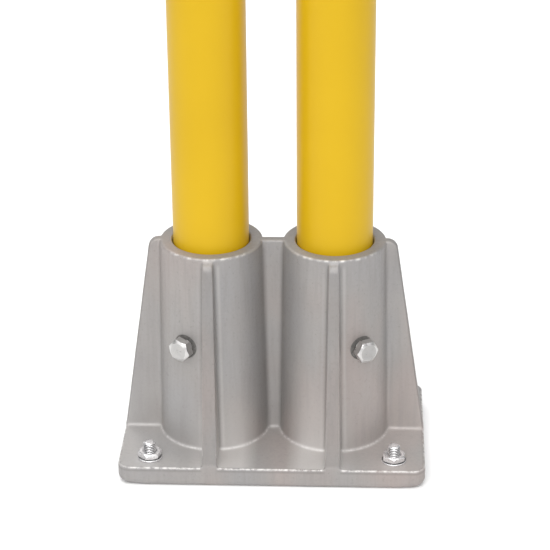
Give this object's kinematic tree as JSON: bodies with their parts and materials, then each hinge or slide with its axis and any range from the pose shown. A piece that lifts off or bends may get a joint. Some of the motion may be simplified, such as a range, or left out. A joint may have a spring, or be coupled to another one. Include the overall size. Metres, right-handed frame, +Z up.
{
  "type": "twin-post bollard",
  "caption": "Deck bollard: two tube posts clamped by hex set bolts in a cast aluminium double-socket foot, held down by stud anchors with washers and nuts.",
  "frame": {"origin": "middle of the foot's underside, on the deck plane", "axes": "+Z up along the posts, +X from the left post to the right post, -Y the side with the set bolts"},
  "size_m": [0.246, 0.146, 0.654],
  "materials": {
    "cast_aluminium": "as cast, matte, slightly pitted",
    "yellow_paint": "powder coat, satin, on steel tube",
    "cap_plastic": "moulded polyethylene, fine grain",
    "zinc_bolt": "bright zinc plated",
    "zinc_anchor": "bright zinc plated",
    "clip_steel": "plain rolled steel"
  },
  "bodies": {
    "foot": {"base_casting": "cast_aluminium", "anchor_studs": "zinc_anchor", "anchor_expansion_clips": "clip_steel", "anchor_washers": "zinc_anchor", "anchor_nuts": "zinc_anchor"},
    "left_post": {"left_post_tube": "yellow_paint", "left_post_cap": "cap_plastic"},
    "right_post": {"right_post_tube": "yellow_paint", "right_post_cap": "cap_plastic"},
    "left_clamp": {"left_set_bolt": "zinc_bolt"},
    "right_clamp": {"right_set_bolt": "zinc_bolt"}
  },
  "joints": [
    {"name": "left_post_lift", "type": "slide", "parent": "foot", "child": "left_post", "axis": [0, 0, 1], "range_m": [0, 0.18]},
    {"name": "right_post_lift", "type": "slide", "parent": "foot", "child": "right_post", "axis": [0, 0, 1], "range_m": [0, 0.18]},
    {"name": "left_set_bolt_travel", "type": "slide", "parent": "foot", "child": "left_clamp", "axis": [-0.4695, -0.8829, 0], "range_m": [0, 0.0105]},
    {"name": "right_set_bolt_travel", "type": "slide", "parent": "foot", "child": "right_clamp", "axis": [0.5299, -0.848, 0], "range_m": [0, 0.0105]}
  ]
}
